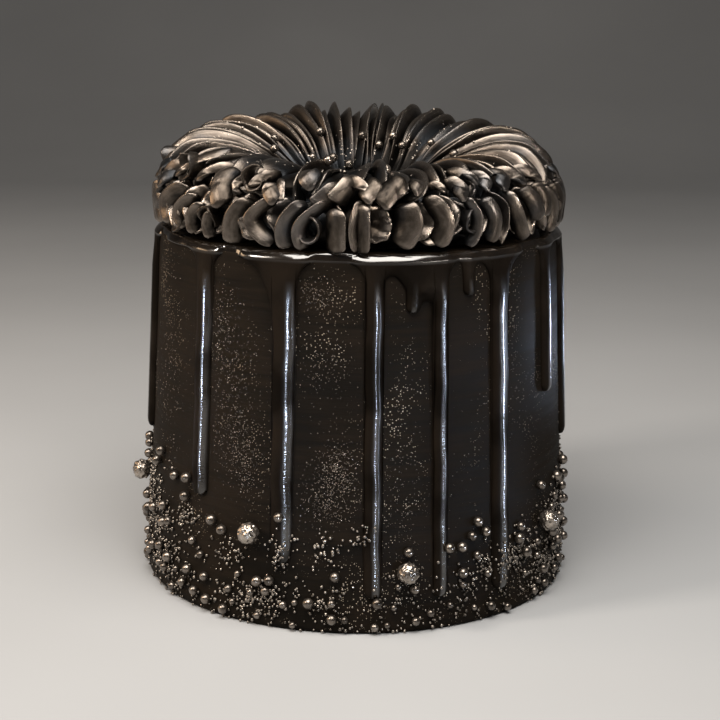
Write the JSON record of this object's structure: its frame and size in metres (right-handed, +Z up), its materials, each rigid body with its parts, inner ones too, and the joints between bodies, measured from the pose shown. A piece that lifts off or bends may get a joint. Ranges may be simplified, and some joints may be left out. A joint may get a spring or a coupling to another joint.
{
  "type": "black drip cake",
  "caption": "Tall round dark chocolate cake with a dripping glaze, a ring of piped metallic cream on top and sugar pearls round its foot.",
  "frame": {"origin": "centre of the cake's flat underside", "axes": "+Z up along the cake's axis, -Y towards the front that the picture shows, +X to its right"},
  "size_m": [0.179, 0.1818, 0.1834],
  "materials": {
    "butter_cream": "smooth satin butter cream, near black, dusted with lustre",
    "glaze": "glossy set chocolate glaze",
    "piped_cream": "piped butter cream painted with dark pewter lustre",
    "sugar_pearl": "sugar ball with a metallic sheen and a crinkled skin"
  },
  "bodies": {
    "root": {"cake": "butter_cream", "glaze": "glaze", "piped_wreath": "piped_cream", "crunch_ball_01": "sugar_pearl", "crunch_ball_02": "sugar_pearl", "crunch_ball_03": "sugar_pearl", "crunch_ball_04": "sugar_pearl", "crunch_ball_05": "sugar_pearl", "crunch_ball_06": "sugar_pearl", "crunch_ball_07": "sugar_pearl"}
  },
  "joints": []
}
